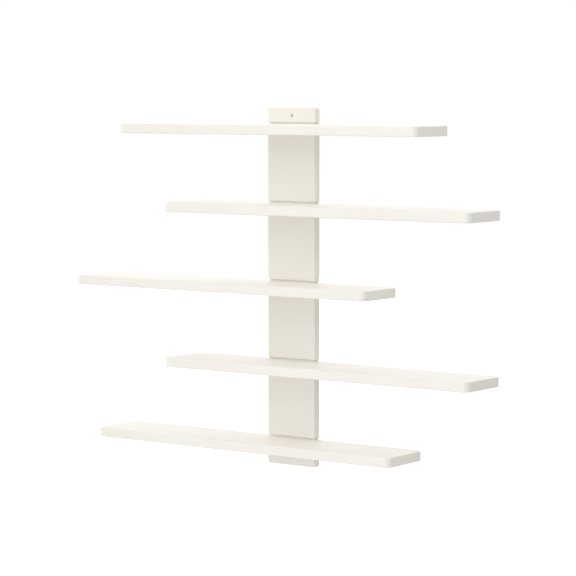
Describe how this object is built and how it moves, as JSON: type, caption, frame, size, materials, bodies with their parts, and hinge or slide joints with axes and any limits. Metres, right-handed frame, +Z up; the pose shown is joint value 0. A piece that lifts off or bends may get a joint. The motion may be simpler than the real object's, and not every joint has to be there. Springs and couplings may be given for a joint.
{
  "type": "branch wall shelf",
  "caption": "Cream lacquered wall shelf with equal rounded boards at staggered offsets on a narrow upright spine that screws to the wall.",
  "frame": {"origin": "on the wall plane, midway between the two wall screw holes on the spine's centre line", "axes": "+X along the wall to the right seen from the room, +Y into the wall, +Z up along the spine"},
  "size_m": [1.205, 0.153, 0.903],
  "materials": {
    "lacquer": "satin lacquer",
    "plated_steel": "zinc plated",
    "zinc": "die cast",
    "beech": "raw"
  },
  "bodies": {
    "root": {"shelf_1": "lacquer", "shelf_2": "lacquer", "shelf_3": "lacquer", "shelf_4": "lacquer", "shelf_5": "lacquer", "spine_top": "lacquer", "spine_block_1": "lacquer", "spine_block_2": "lacquer", "spine_block_3": "lacquer", "spine_block_4": "lacquer", "spine_tail": "lacquer", "bolts_1": "plated_steel", "bolts_2": "plated_steel", "bolts_3": "plated_steel", "bolts_4": "plated_steel", "bolts_5": "plated_steel", "cams_1": "zinc", "cams_2": "zinc", "cams_3": "zinc", "cams_4": "zinc", "cams_5": "zinc", "dowels_1": "beech", "dowels_2": "beech", "dowels_3": "beech", "dowels_4": "beech", "dowels_5": "beech"}
  },
  "joints": []
}
